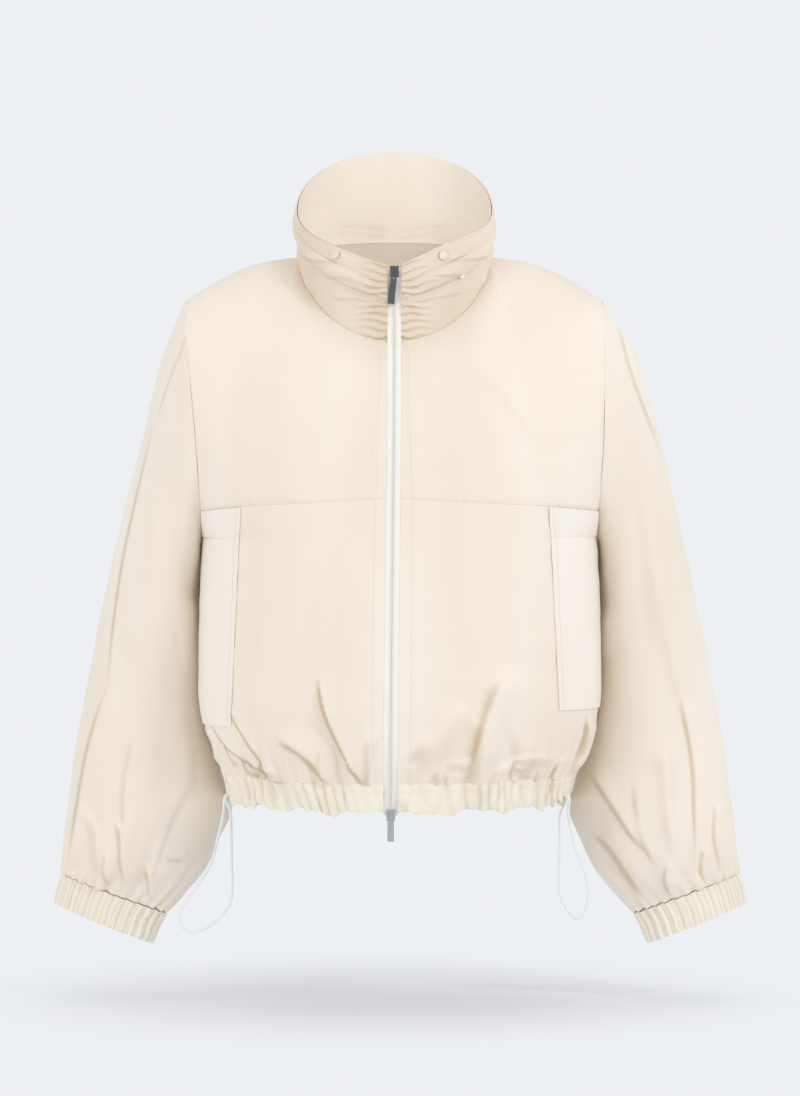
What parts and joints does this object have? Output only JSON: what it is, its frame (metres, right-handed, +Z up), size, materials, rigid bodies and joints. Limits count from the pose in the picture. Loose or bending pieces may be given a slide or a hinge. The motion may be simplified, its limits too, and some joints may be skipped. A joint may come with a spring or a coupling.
{
  "type": "water-repellent jacket",
  "caption": "Cropped pale cream windbreaker jacket with a tall funnel collar, full front zip, blouson sleeves and a gathered drawcord hem, filled out as worn.",
  "frame": {"origin": "middle of the neck opening, at the height where the shoulder seams meet the collar", "axes": "+Z up, -Y towards the front, -X towards the wearer's right"},
  "size_m": [0.6965, 0.2642, 0.7997],
  "materials": {
    "shell": "matt coated polyester with a faint sheen",
    "welt": "smooth coated polyester",
    "collar": "matt coated polyester",
    "gathers": "gathered coated polyester",
    "zip_tape": "woven tape",
    "zip_coil": "nylon coil",
    "dark_metal": "gunmetal plated",
    "pale_metal": "satin nickel plated",
    "snap": "moulded cap",
    "cord": "braided elastic cord"
  },
  "bodies": {
    "garment": {"yoke_left": "shell", "yoke_right": "shell", "front_left": "shell", "front_right": "shell", "pocket_welt_left": "welt", "pocket_welt_right": "welt", "back": "shell", "sleeve_left": "shell", "sleeve_right": "shell", "cuff_left": "gathers", "cuff_right": "gathers", "hem_casing": "gathers", "collar_stand": "collar", "collar_roll": "collar", "collar_band": "collar", "zip_tape_left": "zip_tape", "zip_tape_right": "zip_tape", "zip_coil": "zip_coil", "top_slider": "dark_metal", "bottom_slider": "pale_metal", "collar_snap_left": "snap", "collar_snap_right": "snap", "hem_eyelet_left": "gathers", "hem_eyelet_right": "gathers", "drawcord_left": "cord", "drawcord_right": "cord", "collar_cord_end": "cord"},
    "top_pull": {"top_pull": "dark_metal"},
    "bottom_pull": {"bottom_pull": "pale_metal"}
  },
  "joints": [
    {"name": "top_pull_swing", "type": "hinge", "parent": "garment", "child": "top_pull", "pos_m": [0, -0.08225, -0.0155], "axis": [-1, 0, 0], "range_deg": [0, 165]},
    {"name": "bottom_pull_swing", "type": "hinge", "parent": "garment", "child": "bottom_pull", "pos_m": [-0.0035, -0.12025, -0.545], "axis": [-1, 0, 0], "range_deg": [0, 165]}
  ]
}
